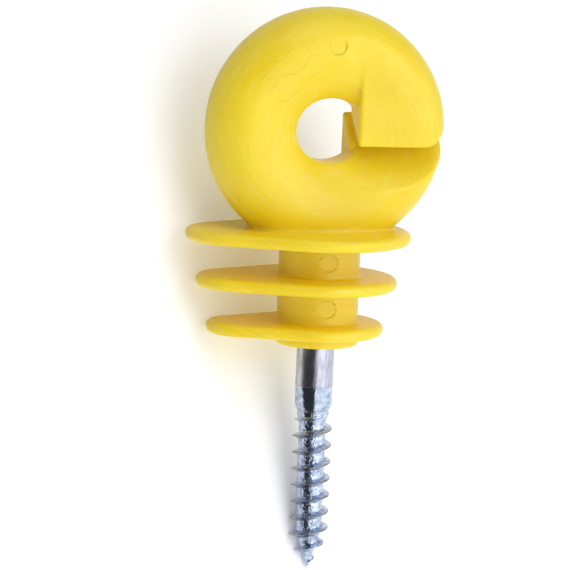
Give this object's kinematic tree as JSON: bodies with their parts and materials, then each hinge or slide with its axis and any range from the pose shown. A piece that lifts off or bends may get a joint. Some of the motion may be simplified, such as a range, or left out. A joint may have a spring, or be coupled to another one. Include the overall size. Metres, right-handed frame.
{
  "type": "fence ring insulator",
  "caption": "Slotted plastic wire ring above a stack of tapering drip discs, moulded round a steel wood screw, for holding electric fence wire off a wooden post.",
  "frame": {"origin": "centre of the collar's underside, on the screw's axis, where the insulator stops against the post", "axes": "+Z along the screw's axis towards the wire ring; +X towards the ring's wire slot; the ring's parting plane is Y = 0 and the front finger is on the -Y side"},
  "size_m": [0.0397, 0.0278, 0.0872],
  "materials": {
    "body_plastic": "satin moulded polyethylene",
    "screw_steel": "bright zinc plate with rolled thread"
  },
  "bodies": {
    "root": {"insulator_body": "body_plastic", "wood_screw": "screw_steel"}
  },
  "joints": []
}
